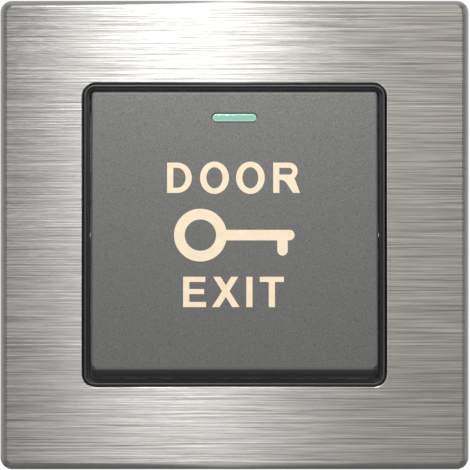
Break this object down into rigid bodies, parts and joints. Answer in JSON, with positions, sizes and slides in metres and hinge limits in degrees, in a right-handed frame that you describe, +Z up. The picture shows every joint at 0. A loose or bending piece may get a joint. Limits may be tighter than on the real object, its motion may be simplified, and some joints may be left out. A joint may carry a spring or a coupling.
{
  "type": "door exit push button",
  "caption": "Square wall-plate push button: brushed steel face, black bezel, sprung rocking paddle with an indicator window, and a change-over contact module behind.",
  "frame": {"origin": "middle of the two box-screw slots, on the wall plane", "axes": "+Z up, +Y into the wall, so the face looks along -Y"},
  "size_m": [0.086, 0.0305, 0.086],
  "materials": {
    "brushed_steel_face": "horizontal brushed grain",
    "black_moulding": "satin",
    "grey_paddle": "satin metallic lacquer on moulding",
    "mint_lens": "translucent, polished",
    "inner_moulding": "moulded, matt",
    "bright_steel": "bright",
    "nylon": "turned, matt",
    "spring_steel": "drawn wire",
    "buffer_rubber": "matt",
    "circuit_board": "solder mask",
    "led_body": "clear moulding",
    "resistor_body": "matt",
    "galvanised_steel": "zinc plated",
    "case_moulding": "moulded, matt",
    "screw_steel": "zinc plated",
    "brass_strip": "stamped strip",
    "silver_contact": "silver"
  },
  "bodies": {
    "base": {"face_plate": "brushed_steel_face", "face_carrier": "black_moulding", "module_chassis": "inner_moulding", "rubber_buffers": "buffer_rubber", "return_springs": "spring_steel", "indicator_board": "circuit_board", "indicator_led": "led_body", "led_resistor": "resistor_body", "mounting_bracket": "galvanised_steel", "bracket_rivets": "bright_steel", "module_case": "case_moulding", "housing_screws": "screw_steel", "terminal_no": "brass_strip", "terminal_nc": "brass_strip", "terminal_com": "brass_strip", "fixed_contacts": "silver_contact", "terminal_clamps": "galvanised_steel", "terminal_screws": "screw_steel"},
    "rocker": {"rocker_paddle": "grey_paddle", "rocker_cradle": "inner_moulding", "indicator_lens": "mint_lens", "pivot_pins": "bright_steel", "plunger_spring": "spring_steel"},
    "plunger": {"plunger": "nylon"},
    "contact": {"contact_blade": "brass_strip", "moving_contacts": "silver_contact"}
  },
  "joints": [
    {"name": "rocker_press", "type": "hinge", "parent": "base", "child": "rocker", "pos_m": [0, -0.005, 0], "axis": [1, 0, 0], "range_deg": [0, 5.5], "stiffness_Nm_per_rad": 0.25, "springref_deg": -2.86, "deforming": ["return_springs"]},
    {"name": "plunger_slide", "type": "slide", "parent": "rocker", "child": "plunger", "axis": [0, -0.9988, 0.048], "range_m": [0, 0.0008], "stiffness_N_per_m": 4, "springref_m": -0.0005, "deforming": ["plunger_spring"]},
    {"name": "contact_rock", "type": "hinge", "parent": "base", "child": "contact", "pos_m": [0, 0.0065, 0], "axis": [1, 0, 0], "range_deg": [-7.25, 0]}
  ],
  "couplings": [
    {"joint": "contact_rock", "follows": "rocker_press", "ratio": -1.3091}
  ]
}
